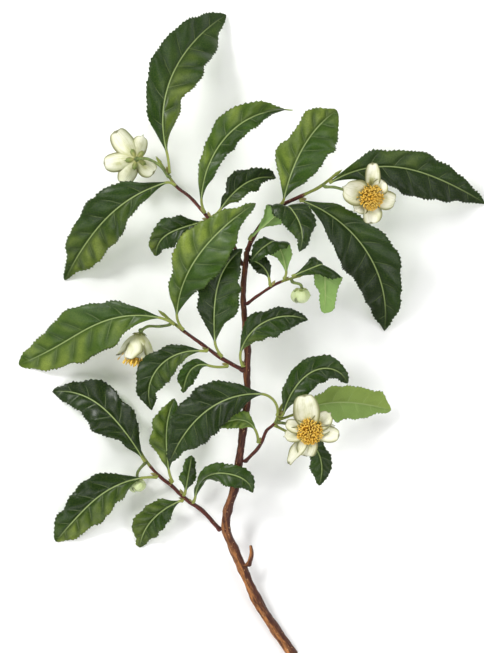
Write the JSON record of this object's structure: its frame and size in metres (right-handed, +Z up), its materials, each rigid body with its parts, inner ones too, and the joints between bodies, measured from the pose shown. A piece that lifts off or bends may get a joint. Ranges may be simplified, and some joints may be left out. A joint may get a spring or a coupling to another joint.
{
  "type": "tea branch",
  "caption": "Cut flowering branch of the tea plant lying on a table, with a woody stem, side twigs, toothed glossy leaves, open white blooms and round buds.",
  "frame": {"origin": "on the table, under the middle of the branch's bounding box", "axes": "+Y along the stem from its cut end to the top shoots, +Z up from the table, +X to the right seen from above"},
  "size_m": [0.3231, 0.4519, 0.0843],
  "materials": {
    "bark": "tan bark with dark streaks and lenticels",
    "twig_bark": "smooth red-brown twig bark, yellow-green at the growing tips",
    "leaf": "glossy dark green upper side, matt light green underside, pale midrib",
    "petal": "soft creamy petal with a green-yellow base and golden stamens",
    "bud": "smooth pale green-white bud"
  },
  "bodies": {
    "root": {"main_stem": "bark", "dead_stub": "bark", "twig_top_right": "twig_bark", "twig_upper_left": "twig_bark", "twig_middle_left": "twig_bark", "twig_middle_right": "twig_bark", "twig_lower_right": "twig_bark", "twig_lower_left": "twig_bark", "leaf_upper_left_1": "leaf", "leaf_upper_left_2": "leaf", "leaf_upper_left_3": "leaf", "leaf_upper_left_4": "leaf", "leaf_upper_left_5": "leaf", "leaf_top_right_1": "leaf", "leaf_top_right_2": "leaf", "leaf_top_right_3": "leaf", "leaf_top_right_4": "leaf", "leaf_middle_left_1": "leaf", "leaf_middle_left_2": "leaf", "leaf_middle_left_3": "leaf", "leaf_middle_left_4": "leaf", "leaf_middle_left_5": "leaf", "leaf_on_stem": "leaf", "leaf_middle_right_1": "leaf", "leaf_middle_right_2": "leaf", "leaf_middle_right_3": "leaf", "leaf_lower_right_1": "leaf", "leaf_lower_right_2": "leaf", "leaf_lower_right_3": "leaf", "leaf_lower_right_4": "leaf", "leaf_lower_right_5": "leaf", "leaf_lower_left_1": "leaf", "leaf_lower_left_2": "leaf", "leaf_lower_left_3": "leaf", "leaf_lower_left_4": "leaf", "leaf_lower_left_5": "leaf", "leaf_lower_left_6": "leaf", "bloom_upper_left": "petal", "bloom_middle_left": "petal", "bloom_lower_right": "petal", "bloom_top_right": "petal", "bud_middle_right": "bud", "bud_lower_left": "bud"}
  },
  "joints": []
}
